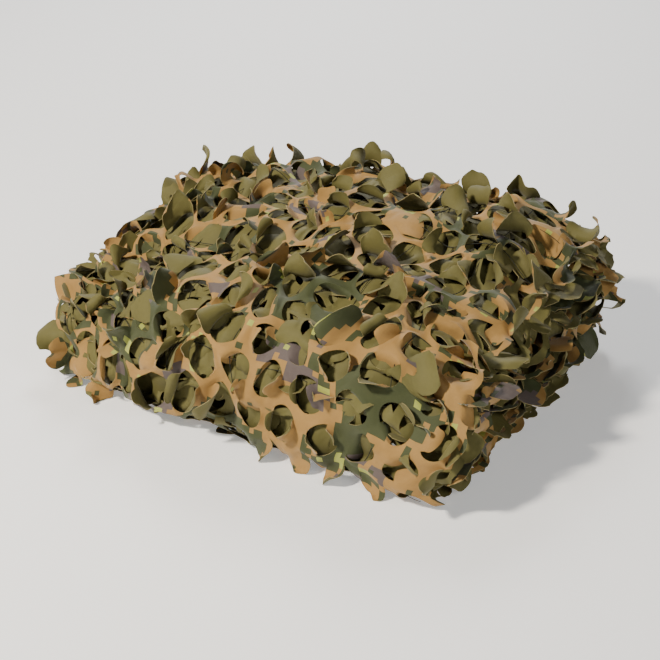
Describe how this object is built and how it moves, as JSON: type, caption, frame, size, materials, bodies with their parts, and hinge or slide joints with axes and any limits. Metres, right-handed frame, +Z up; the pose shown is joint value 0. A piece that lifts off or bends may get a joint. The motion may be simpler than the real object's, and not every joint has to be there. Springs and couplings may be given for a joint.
{
  "type": "camouflage net",
  "caption": "Folded camouflage net: die-cut cloth with curled leaves, laid back and forth into a loose flat pack that rests on the floor.",
  "frame": {"origin": "on the floor, at the middle of the pack's underside", "axes": "+X along the pack's length, -Y towards its rounded front, where the outer layer comes down to the floor, +Z up"},
  "size_m": [0.717, 0.5548, 0.2469],
  "materials": {
    "printed_cloth": "matt woven polyester, printed in a pixel camouflage on its outer face, plain olive on its back, with die-cut edges"
  },
  "bodies": {
    "root": {"camouflage_net": "printed_cloth"}
  },
  "joints": []
}
